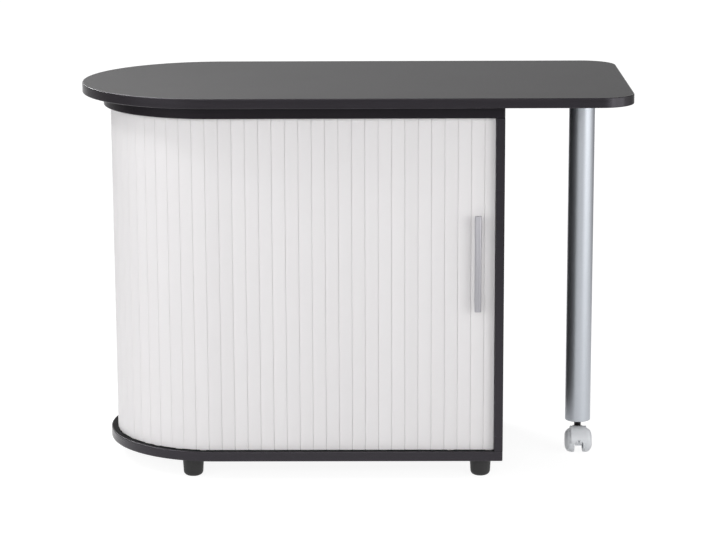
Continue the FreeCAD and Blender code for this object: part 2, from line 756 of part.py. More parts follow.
wheel("caster_wheel_left", -1)
wheel("caster_wheel_right", 1)
keep(rod("caster_axle", AXLE_R, 2 * AXLE_HALF, (LEG_X - AXLE_HALF, AXLE_Y, AXLE_Z), (1, 0, 0)))

HOOD_FROM = 15.0
HOOD_TURN = 165.0
BOSS_R = 10.5
BOSS_WALL = 2.6
WEB_LOW = 7.0
WEB_FRONT = 18.0
WEB_SET = 1.0
ROOM_WIDE = 6.0
ROOM_SET = 0.5
HOLE_OVER = 0.1
MOULD_SLOTS = [(-6.0, 2.0, 4.0), (0.0, 4.0, 6.5), (6.0, 2.0, 4.0)]
shell = new_body("hood_shell")
hood_half = S["hood_width"] / 2
soft = S["hood_ease"]
profile = [
    ("line", (-hood_half, HOOD_IN), (hood_half, HOOD_IN)),
    ("line", (hood_half, HOOD_IN), (hood_half, HOOD_R - soft)),
    ("arc", (hood_half - soft, HOOD_R - soft), soft, 0.0, 90.0),
    ("line", (hood_half - soft, HOOD_R), (-hood_half + soft, HOOD_R)),
    ("arc", (-hood_half + soft, HOOD_R - soft), soft, 90.0, 180.0),
    ("line", (-hood_half, HOOD_R - soft), (-hood_half, HOOD_IN)),
]
revolve(shell, sketch(shell, "XY_Plane", 0, profile), "H_Axis", HOOD_TURN)
place(shell, (LEG_X, AXLE_Y, AXLE_Z), FreeCAD.Rotation(V(1, 0, 0), HOOD_FROM))
disc = rod("web_disc", HOOD_R - WEB_SET, 2 * WEB_HALF, (LEG_X - WEB_HALF, AXLE_Y, AXLE_Z), (1, 0, 0))
around = 2 * HOOD_R
under = box(
    "web_under",
    (LEG_X - around, AXLE_Y - around, AXLE_Z - around),
    (LEG_X + around, AXLE_Y + around, AXLE_Z - WEB_LOW),
)
before = box(
    "web_before",
    (LEG_X - around, AXLE_Y - around, AXLE_Z - around),
    (LEG_X + around, AXLE_Y - WEB_FRONT, AXLE_Z + WEB_LOW),
)
web = cut("web_plate", disc, [under, before])
boss = rod("hood_boss", BOSS_R, S["neck_low"] - STEM_LOW + BOSS_WALL, (LEG_X, 0.0, STEM_LOW - BOSS_WALL))
hood_raw = fuse("hood_raw", [shell, web, boss])
cuts = [
    rod("stem_hole", stem_r, STEM_DEEP + HOLE_OVER, (LEG_X, 0.0, STEM_LOW)),
    rod("neck_hole", neck_r + SCREW_FIT, STEM_DEEP, (LEG_X, 0.0, S["neck_low"])),
    rod("axle_hole", AXLE_R, 2 * AXLE_HALF, (LEG_X - AXLE_HALF, AXLE_Y, AXLE_Z), (1, 0, 0)),
]
for side in (-1, 1):
    start = LEG_X + side * (WEB_HALF + ROOM_SET)
    cuts.append(rod("wheel_room_%d" % side, HOOD_IN, ROOM_WIDE, (start, AXLE_Y, AXLE_Z), (side, 0, 0)))
# Three slots in the hood's front edge, left by the cores of its mould: each has
# its middle, its width and its half height.
for number, (middle, wide, tall) in enumerate(MOULD_SLOTS):
    cuts.append(box(
        "mould_slot_%d" % number,
        (LEG_X + middle - wide / 2, AXLE_Y - around, AXLE_Z - tall),
        (LEG_X + middle + wide / 2, AXLE_Y - WEB_FRONT, AXLE_Z + tall),
    ))
keep(cut("caster_hood", hood_raw, cuts))

# Tambour: upright slats in a chain. Distances along the run are counted from
# the front end of the bend, and are negative along the front. A slat hooks
# over its neighbour with a face lip, and the neighbour's tongue lies behind it.
# The plan of the chain is worked out slat by slat, in plain numbers.
PITCH = float(S["slat_pitch"])
GAP = float(S["slat_gap"])
LIP = float(S["slat_lip"])
DEEP = float(S["slat_thick"])
RUN_R = float(SLAT_R)
RUN_X = float(PIVOT_X)
RUN_START = float(PIVOT_X - SIDE_IN + S["slat_side"])
LEAD_END = RUN_START + float(S["lead_width"])
BEND = math.pi * RUN_R
TAIL = 0.2 * PITCH
REBATE = 6.0
TONGUE_LOW = 3.0
TONGUE_HIGH = 4.0
TONGUE_OUT = 1.4
EASE = 0.35
GUIDE_LOW = DEEP / 2 - 1.5
GUIDE_HIGH = DEEP / 2 + 1.5
GUIDE_HALF = 6.0
slats = [(RUN_START, LEAD_END)]
while slats[-1][1] < BEND + TAIL or len(slats) % 2:
    slats.append((slats[-1][1], slats[-1][1] + PITCH))


def run_point(s):
    """Point of the tambour's outer face at a distance along the run."""
    if s < 0:
        return (RUN_X - s, -RUN_R)
    return (RUN_X - RUN_R * math.sin(s / RUN_R), -RUN_R * math.cos(s / RUN_R))


def slat_frame(number):
    """Middle, heading and inward normal of a slat's face, and its width."""
    (x0, y0), (x1, y1) = run_point(slats[number][0]), run_point(slats[number][1])
    width = math.hypot(x1 - x0, y1 - y0)
    heading = ((x1 - x0) / width, (y1 - y0) / width)
    inward = (heading[1], -heading[0])
    return ((x0 + x1) / 2, (y0 + y1) / 2), heading, inward, width


def slat_point(number, along, depth):
    """Plan point given along a slat and in from its face."""
    mid, heading, inward, width = slat_frame(number)
    return (
        mid[0] + along * heading[0] + depth * inward[0],
        mid[1] + along * heading[1] + depth * inward[1],
    )


def slat_end(number, style, sign):
    """Corners of one end of a slat, from its face to its back."""
    half = slat_frame(number)[3] / 2 - GAP / 2
    if style == "tongue":
        out = half + GAP + TONGUE_OUT
        steps = [(half, TONGUE_LOW), (out, TONGUE_LOW), (out, TONGUE_HIGH), (half, TONGUE_HIGH), (half, DEEP)]
    elif style == "rebate":
        steps = [(half, LIP), (half - REBATE, LIP), (half - REBATE, DEEP)]
    else:
        steps = [(half, DEEP)]
    steps = [(half - EASE, 0.0), (half, EASE)] + steps
    return [slat_point(number, sign * along, depth) for along, depth in steps]


def group_outline(members, start, end):
    """Closed plan of neighbouring slats that move as one."""
    points = list(reversed(slat_end(members[0], start, -1)))
    for first, second in zip(members, members[1:]):
        half_1 = slat_frame(first)[3] / 2 - GAP / 2
        half_2 = slat_frame(second)[3] / 2 - GAP / 2
        for along, depth in ((half_1 - EASE, 0.0), (half_1, EASE), (half_1, LIP)):
            points.append(slat_point(first, along, depth))
        for along, depth in ((half_2, LIP), (half_2, EASE), (half_2 - EASE, 0.0)):
            points.append(slat_point(second, -along, depth))
    points += slat_end(members[-1], end, 1)
    for first, second in reversed(list(zip(members, members[1:]))):
        h1 = slat_frame(first)[1]
        h2 = slat_frame(second)[1]
        bend = math.acos(max(-1.0, min(1.0, h1[0] * h2[0] + h1[1] * h2[1])))
        half = slat_frame(first)[3] / 2
        points.append(slat_point(first, half - DEEP * math.tan(bend / 2), DEEP))
    return points


def guide_outline(number):
    """Plan of a guide tongue in the middle of a slat's end."""
    low = [slat_point(number, along, GUIDE_LOW) for along in (-GUIDE_HALF, GUIDE_HALF)]
    high = [slat_point(number, along, GUIDE_HIGH) for along in (GUIDE_HALF, -GUIDE_HALF)]
    return polygon(low + high)


def slat_body(name, members, start, end, guided):
    """Slats that move as one, with guide tongues where they stay in the groove."""
    body = new_body(name)
    plan = polygon(group_outline(members, start, end))
    pad(body, sketch(body, "XY_Plane", SLAT_LOW, plan), SLAT_HIGH - SLAT_LOW)
    if guided:
        marks = []
        for number in guided:
            marks += guide_outline(number)
        reach = S["guide_height"] + S["slat_play"]
        pad(body, sketch(body, "XY_Plane", SLAT_HIGH, marks), reach)
        pad(body, sketch(body, "XY_Plane", SLAT_LOW - reach, marks), reach)
    return keep(body)


# Four slats at the lead edge only ever slide, those of the round end only ever
# turn about the pivot, and the pairs between them pass from one to the other.
LEAD = [0, 1, 2, 3]
BEND_SETS = 5
on_bend = [number for number, (start, end) in enumerate(slats) if start >= 0]
BEND_FIRST = on_bend[0] + (on_bend[0] - len(LEAD)) % 2
lead = slat_body("tambour_lead", LEAD, "plain", "tongue", [0, 3])
for pair, number in enumerate(range(len(LEAD), BEND_FIRST, 2), start=1):
    slat_body("tambour_pair_%02d" % pair, [number, number + 1], "rebate", "tongue", [])
bend = list(range(BEND_FIRST, len(slats)))
cuts = [round(k * len(bend) / BEND_SETS) for k in range(BEND_SETS + 1)]
for part, (low, high) in enumerate(zip(cuts, cuts[1:]), start=1):
    members = bend[low:high]
    last = "plain" if part == BEND_SETS else "tongue"
    slat_body("tambour_bend_%d" % part, members, "rebate", last, members[::2])

# Handle: a bar with rounded edges and a fine groove down its front, on two
# posts, screwed through the second slat.
HANDLE_X = SIDE_IN - S["slat_side"] - S["lead_width"] - S["slat_pitch"] / 2
POST_R = 4.0
POST_INSET = 20.0
POST_BOLT = 9.0
BOLT_R = 2.0
BOLT_HEAD = (3.6, 2.2)
DRILL_OVER = 1.0
BAR_ROUND = 3.5
NOTCH_HALF = 1.0
NOTCH_DEEP = 0.6
POST_ZS = [S["handle_centre"] + side * (S["handle_length"] / 2 - POST_INSET) for side in (-1, 1)]
BAR_BACK = -SLAT_R - S["handle_stand"]
BAR_FRONT = BAR_BACK - S["handle_deep"]
spots = [("circle", (HANDLE_X, z), BOLT_R + SCREW_FIT) for z in POST_ZS]
through = sketch(lead, "XZ_Plane", SLAT_R + DRILL_OVER, spots)
pocket(lead, through, S["slat_thick"] + 2 * DRILL_OVER)

bar = new_body("handle_bar")
bar_left = HANDLE_X - S["handle_width"] / 2
bar_right = HANDLE_X + S["handle_width"] / 2
bar_soft = BAR_FRONT + BAR_ROUND
plan = polygon([
    (bar_left + BAR_ROUND, BAR_FRONT),
    (HANDLE_X - NOTCH_HALF, BAR_FRONT),
    (HANDLE_X, BAR_FRONT + NOTCH_DEEP),
    (HANDLE_X + NOTCH_HALF, BAR_FRONT),
    (bar_right - BAR_ROUND, BAR_FRONT),
])[:-1]
plan += polygon([
    (bar_right, bar_soft),
    (bar_right, BAR_BACK),
    (bar_left, BAR_BACK),
    (bar_left, bar_soft),
])[:-1]
plan.append(("arc", (bar_right - BAR_ROUND, bar_soft), BAR_ROUND, 270.0, 360.0))
plan.append(("arc", (bar_left + BAR_ROUND, bar_soft), BAR_ROUND, 180.0, 270.0))
pad(bar, sketch(bar, "XY_Plane", S["handle_centre"] - S["handle_length"] / 2, plan), S["handle_length"])
keep(bar)
posts = []
bolts = []
for number, z in enumerate(POST_ZS):
    post = rod("post_%d" % number, POST_R, S["handle_stand"], (HANDLE_X, BAR_BACK, z), (0, 1, 0))
    tap = rod("post_tap_%d" % number, BOLT_R + SCREW_FIT, POST_BOLT, (HANDLE_X, -SLAT_R, z), (0, -1, 0))
    posts.append(cut("post_bored_%d" % number, post, [tap]))
    foot = (HANDLE_X, S["slat_thick"] - SLAT_R, z)
    head = rod("handle_head_%d" % number, *BOLT_HEAD, foot, (0, 1, 0))
    thread = rod("handle_thread_%d" % number, BOLT_R, S["slat_thick"] + POST_BOLT, foot, (0, -1, 0))
    bolts.append(fuse("handle_screw_%d" % number, [head, thread]))
keep(gather("handle_posts", posts))
keep(gather("handle_screws", bolts))

# Everything is sound before anything is written.
doc.recompute()
for obj in doc.Objects:
    if "Invalid" in obj.State or "Error" in obj.State:
        raise RuntimeError(obj.Label + ": " + str(obj.State))
os.makedirs("parts", exist_ok=True)
for obj in NODES:
    if obj.Shape.isNull() or not obj.Shape.isValid():
        raise RuntimeError(obj.Label + ": no sound shape")
    obj.Shape.exportStep("parts/%s.step" % obj.Label)
print("slats", len(slats), "pieces", len(NODES))
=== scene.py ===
# %% [markdown]
# A computer desk with a swivel top: a D-shaped cabinet closed by a tambour of
# white slats, and over it a long black desktop that turns about the centre of the
# cabinet's round end and stands at its far end on a silver leg with a caster. The
# boards, feet and fittings come from the CAD frame with their shapes as they are; this
# lesson gives every surface its finish, and makes anew the pieces whose edges and joints
# the eye rests on: the slats, the handle bar and the three long edge bands.

# %% Load the frame
import json
import math

import bpy
import numpy as np
from mathutils import Matrix, Vector


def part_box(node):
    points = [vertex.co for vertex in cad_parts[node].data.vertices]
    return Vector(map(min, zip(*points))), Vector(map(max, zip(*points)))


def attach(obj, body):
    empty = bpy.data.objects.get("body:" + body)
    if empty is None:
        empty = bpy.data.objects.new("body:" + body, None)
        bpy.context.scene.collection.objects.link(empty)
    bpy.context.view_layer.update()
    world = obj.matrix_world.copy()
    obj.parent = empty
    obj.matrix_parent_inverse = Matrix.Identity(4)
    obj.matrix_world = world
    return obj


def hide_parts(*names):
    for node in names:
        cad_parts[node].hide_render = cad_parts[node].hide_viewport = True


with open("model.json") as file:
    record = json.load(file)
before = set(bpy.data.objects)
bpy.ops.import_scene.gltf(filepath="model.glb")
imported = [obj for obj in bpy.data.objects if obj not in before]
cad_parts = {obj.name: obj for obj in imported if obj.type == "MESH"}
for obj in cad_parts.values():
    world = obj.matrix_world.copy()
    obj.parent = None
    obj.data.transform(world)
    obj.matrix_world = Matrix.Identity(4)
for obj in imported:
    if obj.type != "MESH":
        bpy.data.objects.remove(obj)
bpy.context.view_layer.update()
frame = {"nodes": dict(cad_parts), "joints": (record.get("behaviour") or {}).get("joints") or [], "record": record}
MM = 0.001

# %% [markdown]
# A few helpers serve every finish. Colours are written as the sRGB hex values that a
# paint card would give, and the shader wants light in linear steps, so one function
# converts them. A second one adds a shader node, sets its own settings and fills its
# inputs with values or with links from other nodes. An input is named by its own words,
# or by its number where a node has several of one name: a mix of colours keeps its two
# colours in inputs 6 and 7, and a mix of plain values has them in inputs 2 and 3. Two
# short helpers start a material and close it.

# %% Colour and node helpers
def linear(code):
    """Linear RGBA of an sRGB hex colour.

    A dark channel c gives c / 12.92, any other ((c + 0.055) / 1.055) ** 2.4.
    """
    srgb = np.array([int(code[place:place + 2], 16) for place in (1, 3, 5)]) / 255
    light = np.where(srgb <= 0.04045, srgb / 12.92, ((srgb + 0.055) / 1.055) ** 2.4)
    return (*light.tolist(), 1.0)


def add_node(tree, kind, settings=(), **inputs):
    """A shader node with its settings and inputs.

    An input's name is its words joined by underscores, or an underscore and its number. It
    takes a value or another node's socket.
    """
    made = tree.nodes.new(kind)
    for name, value in dict(settings).items():
        setattr(made, name, value)
    for name, value in inputs.items():
        number = name[1:]
        socket = made.inputs[int(number) if number.isdigit() else name.replace("_", " ")]
        if isinstance(value, bpy.types.NodeSocket):
            tree.links.new(value, socket)
        else:
            socket.default_value = value
    return made


def new_finish(name):
    """An empty node material and its tree."""
    material = bpy.data.materials.new(name)
    material.use_nodes = True
    material.node_tree.nodes.clear()
    return material, material.node_tree


def close_finish(tree, shader):
    """Links the finished shader to the material's surface."""
    add_node(tree, "ShaderNodeOutputMaterial", Surface=shader.outputs[0])


FINISH = {}
COLOURS = {"data_type": "RGBA"}
print("black in linear light", linear("#1c1b1c"))

# %% [markdown]
# The boards are particle board faced with black melamine paper, pressed between steel
# plates that leave a fine pearl of shallow bumps. Face on it is nearly black; at the
# low angle at which one looks along a desktop it mirrors its bright surroundings and
# turns mid grey. That comes from the shader's own gloss, so the colour stays dark and
# a fine noise, read in metres from the piece's own place, gives the pearl. The boards
# of the cabinet's floor and lid get a darker, duller copy of the same paper. That copy is
# painted shade for where they lie under the desktop, so one loop makes two grades that
# differ in colour and shine.

# %% Pearl-pressed black melamine
PEARL = 2.2 * MM  # the real pearl is about 0.4 mm; drawn coarser so that it shows
PEARL_DEEP = 0.1 * MM
CLOUD = 90 * MM
CLOUD_SHARE = 0.2
SPECK_LOW = 0.38  # the noise at which a speck is darkest
SPECK_HIGH = 0.82  # and at which it is lightest
MELAMINE_IOR = 1.5

BOARDS = {
    # slot: name, dark and light colour, shine, lowest and highest roughness
    "black_laminate_board": (
        "melamine board, pearl pressed", "#1c1b1c", "#302f31", 0.19, 0.40, 0.52,
    ),
    # painted shade: a darker, duller copy of the board for the cabinet's floor and lid under the desktop
    "shaded_copy_board": (
        "melamine board, painted shade copy", "#121112", "#201f21", 0.05, 0.60, 0.70,
    ),
}
for grade, (name, dark, light, shine, rough_low, rough_high) in BOARDS.items():
    board, tree = new_finish(name)
    place = add_node(tree, "ShaderNodeTexCoord").outputs["Object"]
    pearl = add_node(tree, "ShaderNodeTexNoise", Vector=place, Scale=1 / PEARL, Detail=2.0)
    cloud = add_node(tree, "ShaderNodeTexNoise", Vector=place, Scale=1 / CLOUD, Detail=3.0)
    speck = add_node(
        tree, "ShaderNodeMath", {"operation": "MULTIPLY_ADD"},
        _0=cloud.outputs["Fac"], _1=CLOUD_SHARE, _2=pearl.outputs["Fac"],
    )
    spread = add_node(
        tree, "ShaderNodeMapRange", Value=speck.outputs[0],
        From_Min=SPECK_LOW, From_Max=SPECK_HIGH,
    )
    tone = add_node(
        tree, "ShaderNodeMix", COLOURS,
        Factor=spread.outputs[0], _6=linear(dark), _7=linear(light),
    )
    gloss = add_node(
        tree, "ShaderNodeMapRange", Value=pearl.outputs["Fac"],
        To_Min=rough_low, To_Max=rough_high,
    )
    bumps = add_node(
        tree, "ShaderNodeBump", Strength=0.25, Distance=PEARL_DEEP, Height=pearl.outputs["Fac"],
    )
    shader = add_node(
        tree, "ShaderNodeBsdfPrincipled", Base_Color=tone.outputs[2],
        Roughness=gloss.outputs[0], IOR=MELAMINE_IOR, Specular_IOR_Level=shine,
        Normal=bumps.outputs[0],
    )
    close_finish(tree, shader)
    FINISH[grade] = board
    print("finish", board.name)

# %% [markdown]
# The edge band is a strip of black ABS, 2 mm thick, glued round each board and
# trimmed by a cutter that leaves its edges slightly eased. It is smoother than the
# faces, so it holds a clearer shine, and the extrusion leaves faint streaks along it.
# The strip runs level, so the streaks are a noise squeezed in height. The strip round
# the cabinet's top gets a duller copy of the band, painted shade for where it lies under
# the desktop.

# %% Extruded black ABS edge band
STREAK_TALL = 4 * MM  # about 0.2 mm on the real strip; drawn coarser so that it shows
STREAK_LONG = 160 * MM
STREAK_DEEP = 0.1 * MM
ABS_IOR = 1.5

BANDS = {
    # slot: name, shine
    "black_edge_band": ("ABS edge band, extruded", 0.46),
    # painted shade: a duller copy of the band for the strip under the desktop
    "shaded_copy_band": ("ABS edge band, painted shade copy", 0.20),
}
for grade, (name, shine) in BANDS.items():
    band, tree = new_finish(name)
    place = add_node(tree, "ShaderNodeTexCoord").outputs["Object"]
    squeeze = add_node(
        tree, "ShaderNodeMapping", Vector=place,
        Scale=(1 / STREAK_LONG, 1 / STREAK_LONG, 1 / STREAK_TALL),
    )
    streak = add_node(
        tree, "ShaderNodeTexNoise", Vector=squeeze.outputs[0], Scale=1.0, Detail=2.0,
    )
    tone = add_node(
        tree, "ShaderNodeMix", COLOURS,
        Factor=streak.outputs["Fac"], _6=linear("#151215"), _7=linear("#1d191e"),
    )
    gloss = add_node(
        tree, "ShaderNodeMapRange", Value=streak.outputs["Fac"], To_Min=0.17, To_Max=0.31,
    )
    bumps = add_node(
        tree, "ShaderNodeBump", Strength=0.25, Distance=STREAK_DEEP, Height=streak.outputs["Fac"],
    )
    shader = add_node(
        tree, "ShaderNodeBsdfPrincipled", Base_Color=tone.outputs[2],
        Roughness=gloss.outputs[0], IOR=ABS_IOR, Specular_IOR_Level=shine,
        Specular_Tint=linear("#f8f4ff"), Normal=bumps.outputs[0],
    )
    close_finish(tree, shader)
    FINISH[grade] = band
    print("finish", band.name)

# %% [markdown]
# The slats are white polypropylene, drawn through a die in long lengths. The die
# leaves hair-fine lines along each slat, and no two slats come out in quite the same
# white. Each slat carries its own tone as a mesh attribute, so the small steps of
# tone fall on the joints, as they do on the real curtain.

# %% Drawn white polypropylene
DIE_LINE = 1.6 * MM  # about 0.1 mm on the real slat; drawn coarser so that it shows
DIE_LONG = 400 * MM
DIE_DEEP = 0.03 * MM
POLYPROPYLENE_IOR = 1.49

slat, tree = new_finish("polypropylene slat, drawn")
place = add_node(tree, "ShaderNodeTexCoord").outputs["Object"]
squeeze = add_node(
    tree, "ShaderNodeMapping", Vector=place,
    Scale=(1 / DIE_LINE, 1 / DIE_LINE, 1 / DIE_LONG),
)
line = add_node(tree, "ShaderNodeTexNoise", Vector=squeeze.outputs[0], Scale=1.0, Detail=1.0)
own = add_node(tree, "ShaderNodeAttribute", {"attribute_name": "slat_tone"})
tone = add_node(
    tree, "ShaderNodeMix", COLOURS,
    Factor=own.outputs["Fac"], _6=linear("#e1dfe0"), _7=linear("#e4e2e3"),
)
gloss = add_node(
    tree, "ShaderNodeMapRange", Value=line.outputs["Fac"], To_Min=0.42, To_Max=0.54,
)
bumps = add_node(
    tree, "ShaderNodeBump", Strength=0.05, Distance=DIE_DEEP, Height=line.outputs["Fac"],
)
shader = add_node(
    tree, "ShaderNodeBsdfPrincipled", Base_Color=tone.outputs[2],
    Roughness=gloss.outputs[0], IOR=POLYPROPYLENE_IOR, Normal=bumps.outputs[0],
)
close_finish(tree, shader)
FINISH["white_slat"] = slat
print("finish", slat.name)

# %% [markdown]
# The leg is steel tube under silver lacquer. Fine metal flakes in the lacquer make it
# mirror its surroundings softly: the dark side of the cabinet on one side, the bright
# room on the other. A noise of flakes varies the shine, and a slow noise gives the
# slight orange peel of sprayed lacquer.

# %% Silver lacquer on steel
FLAKE = 0.9 * MM  # real flakes are about 0.03 mm; drawn coarser so that they show
PEEL = 6 * MM
PEEL_DEEP = 0.1 * MM

silver, tree = new_finish("steel tube, silver lacquered")
place = add_node(tree, "ShaderNodeTexCoord").outputs["Object"]
flake = add_node(tree, "ShaderNodeTexVoronoi", Vector=place, Scale=1 / FLAKE)
peel = add_node(tree, "ShaderNodeTexNoise", Vector=place, Scale=1 / PEEL, Detail=1.0)
tone = add_node(
    tree, "ShaderNodeMix", COLOURS,
    Factor=flake.outputs["Distance"], _6=linear("#babec4"), _7=linear("#afb3b9"),
)
gloss = add_node(
    tree, "ShaderNodeMapRange", Value=flake.outputs["Distance"], To_Min=0.38, To_Max=0.46,
)
bumps = add_node(
    tree, "ShaderNodeBump", Strength=0.04, Distance=PEEL_DEEP, Height=peel.outputs["Fac"],
)
shader = add_node(
    tree, "ShaderNodeBsdfPrincipled", Base_Color=tone.outputs[2], Metallic=0.92,
    Roughness=gloss.outputs[0], Normal=bumps.outputs[0],
)
close_finish(tree, shader)
FINISH["silver_lacquered_steel"] = silver
print("finish", silver.name)

# %% [markdown]
# The handle is an aluminium bar, ground along its length and anodised grey. Grinding
# leaves lines the length of the bar, so the noise is drawn out in height, and the
# shine is broad and soft.

# %% Ground and anodised aluminium
GRIND = 0.8 * MM  # about 0.05 mm on the real bar; drawn coarser so that it shows
GRIND_LONG = 120 * MM
GRIND_DEEP = 0.03 * MM

handle, tree = new_finish("aluminium bar, ground and anodised")
place = add_node(tree, "ShaderNodeTexCoord").outputs["Object"]
squeeze = add_node(
    tree, "ShaderNodeMapping", Vector=place, Scale=(1 / GRIND, 1 / GRIND, 1 / GRIND_LONG),
)
grind = add_node(tree, "ShaderNodeTexNoise", Vector=squeeze.outputs[0], Scale=1.0, Detail=2.0)
tone = add_node(
    tree, "ShaderNodeMix", COLOURS,
    Factor=grind.outputs["Fac"], _6=linear("#9f9ea3"), _7=linear("#aeadb2"),
)
gloss = add_node(
    tree, "ShaderNodeMapRange", Value=grind.outputs["Fac"], To_Min=0.40, To_Max=0.52,
)
bumps = add_node(
    tree, "ShaderNodeBump", Strength=0.06, Distance=GRIND_DEEP, Height=grind.outputs["Fac"],
)
shader = add_node(
    tree, "ShaderNodeBsdfPrincipled", Base_Color=tone.outputs[2], Metallic=0.85,
    Roughness=gloss.outputs[0], Normal=bumps.outputs[0],
)
close_finish(tree, shader)
FINISH["grey_handle"] = handle
print("finish", handle.name)

# %% [markdown]
# Small parts: the caster is moulded in light grey polypropylene with a faint spark
# eroded grain, the feet are black ABS with the same grain, nylon serves where
# something slides, screws and pins are zinc-plated steel, and the caster's neck is
# blacked steel. Two tables of looks and one loop make them, since they differ only in
# numbers. Their grain is drawn coarser than the real one, which is a few hundredths of a
# millimetre, so that it shows.

# %% Moulded plastics and plated steel
GRAIN_DEEP = 0.05 * MM
MOULDED = {
    # slot: name, dark and light colour, lowest and highest roughness, grain, strength of bumps
    "grey_plastic": (
        "polypropylene caster, moulded", "#e6e9ed", "#edeff2", 0.32, 0.42, 1.5 * MM, 0.10,
    ),
    "black_plastic": ("ABS foot, moulded", "#0d0c0d", "#141314", 0.50, 0.62, 1.5 * MM, 0.15),
    "white_nylon": ("nylon glide, moulded", "#d8d6cd", "#e2e0d8", 0.35, 0.45, 2.0 * MM, 0.05),
}
PLATED = {
    # the same columns
    "zinc_steel": ("steel screw, zinc plated", "#aeb0b0", "#c2c4c3", 0.25, 0.40, 1.0 * MM, 0.05),
    "dark_steel": ("steel neck, blacked", "#2c292c", "#3a3739", 0.30, 0.42, 1.0 * MM, 0.05),
}
for metal, table in ((0.0, MOULDED), (1.0, PLATED)):
    for slot, (name, dark, light, rough_low, rough_high, grain, relief) in table.items():
        material, tree = new_finish(name)
        place = add_node(tree, "ShaderNodeTexCoord").outputs["Object"]
        noise = add_node(tree, "ShaderNodeTexNoise", Vector=place, Scale=1 / grain, Detail=2.0)
        tone = add_node(
            tree, "ShaderNodeMix", COLOURS,
            Factor=noise.outputs["Fac"], _6=linear(dark), _7=linear(light),
        )
        gloss = add_node(
            tree, "ShaderNodeMapRange", Value=noise.outputs["Fac"],
            To_Min=rough_low, To_Max=rough_high,
        )
        bumps = add_node(
            tree, "ShaderNodeBump", Strength=relief, Distance=GRAIN_DEEP,
            Height=noise.outputs["Fac"],
        )
        shader = add_node(
            tree, "ShaderNodeBsdfPrincipled", Base_Color=tone.outputs[2], Metallic=metal,
            Roughness=gloss.outputs[0], Normal=bumps.outputs[0],
        )
        close_finish(tree, shader)
        FINISH[slot] = material
print("finishes", len(FINISH))

# %% [markdown]
# Every CAD node arrives with one material slot, named in the record for what the
# piece is made of. The finish of that name goes into the slot. Three pieces of the cabinet
# that lie in shade get instead its darker, duller copy, which is painted shade. The mesh
# stays as it is.

# %% Finish the CAD pieces
# painted shade: these pieces lie in shade and get the darker, duller copies
SHADED_COPY_OF = {
    "base_panel": "shaded_copy_board",
    "cabinet_top_panel": "shaded_copy_board",
    "cabinet_top_edge_band": "shaded_copy_band",
}
SLOT_OF = {}
FINISH_OF = {}
for name, node in frame["nodes"].items():
    SLOT_OF[name] = node.material_slots[0].material.name
    FINISH_OF[name] = FINISH[SHADED_COPY_OF.get(name, SLOT_OF[name])]
    node.material_slots[0].material = FINISH_OF[name]
print("finished nodes", len(SLOT_OF))

# %% [markdown]
# New pieces are worked out as arrays of points. An outline is a few corners, each
# rounded by an arc of its own radius, because no real edge is sharp and the small
# rounds are what catch the light.

# %% Outline helpers
def rectangle(left, low, right, high):
    """Four corners, anticlockwise from the left lower one."""
    return [(left, low), (right, low), (right, high), (left, high)]


def rounded(corners, radii, steps=5):
    """Closed outline whose corners are arcs.

    From a corner its two sides leave in unit directions a and b, with an angle 2h between
    them. The arc of radius r has its centre r / sin(h) along the half-way direction and
    touches each side r / tan(h) from the corner. Points go from the first touching point to
    the second by equal angles about the centre.
    """
    p = np.asarray(corners, float)
    r = np.broadcast_to(np.asarray(radii, float), len(p))[:, None]
    a = np.roll(p, 1, 0) - p
    b = np.roll(p, -1, 0) - p
    a /= np.linalg.norm(a, axis=1)[:, None]
    b /= np.linalg.norm(b, axis=1)[:, None]
    half_way = (a + b) / np.linalg.norm(a + b, axis=1)[:, None]
    cos_h = np.sum(a * half_way, 1)[:, None]
    sin_h = np.sqrt(1 - cos_h ** 2)
    centre = p + half_way * r / sin_h
    first = (p + a * r * cos_h / sin_h - centre)[:, None]
    last = (p + b * r * cos_h / sin_h - centre)[:, None]
    turn = (math.pi - 2 * np.arccos(cos_h))[:, None]
    share = np.linspace(0, 1, steps)[None, :, None]
    arcs = (np.sin((1 - share) * turn) * first + np.sin(share * turn) * last) / np.sin(turn)
    return (centre[:, None] + arcs).reshape(-1, 2)


def inward_normals(outline):
    """Unit normals that point into a closed outline which goes round anticlockwise.

    The way from the point before to the point after, turned a quarter to the left. A long
    side outweighs the short chord of an arc that it meets, so the normals stay square to the
    side right up to the arc.
    """
    way = np.roll(outline, -1, 0) - np.roll(outline, 1, 0)
    way /= np.linalg.norm(way, axis=1)[:, None]
    return np.stack([-way[:, 1], way[:, 0]], -1)


print("points of a rounded square", len(rounded(rectangle(-1, -1, 1, 1), 0.2)))

# %% [markdown]
# A piece needs its grid of points joined into quads, and a place in the frame: it rides
# on the body of the CAD node that it stands for, and takes over that node's slot and
# finish. Faces are shaded smooth, and edges stay sharp where two faces meet at a steep
# angle.

# %% Mesh helpers
def grid_faces(rows, columns, loop=False):
    """Quads of a grid closed across its columns, and across its rows too where they loop.

    The point in a row and a column has the number row * columns + column.
    """
    row = np.arange(rows if loop else rows - 1)[:, None]
    here = np.arange(columns)[None, :]
    after = (here + 1) % columns
    low = row * columns
    high = (row + 1) % rows * columns
    return np.stack([low + here, low + after, high + after, high + here], -1).reshape(-1, 4)


SHARP = 30.0  # degrees between two faces, above which their edge stays sharp
BODY_OF = {}
for body, nodes in frame["record"]["behaviour"]["bodies"].items():
    BODY_OF.update(dict.fromkeys(nodes, body))


def make_piece(name, points, faces, stands_for):
    """A mesh piece in the frame's own metres that stands for a CAD node."""
    mesh = bpy.data.meshes.new(name)
    mesh.from_pydata(points.tolist(), [], faces)
    mesh.shade_smooth()
    mesh.set_sharp_from_angle(angle=math.radians(SHARP))
    piece = bpy.data.objects.new(name, mesh)
    bpy.context.scene.collection.objects.link(piece)
    mesh.materials.append(FINISH_OF[stands_for])
    body = BODY_OF[stands_for]
    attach(piece, body)
    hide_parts(stands_for)
    return piece


print("nodes on bodies", len(BODY_OF))

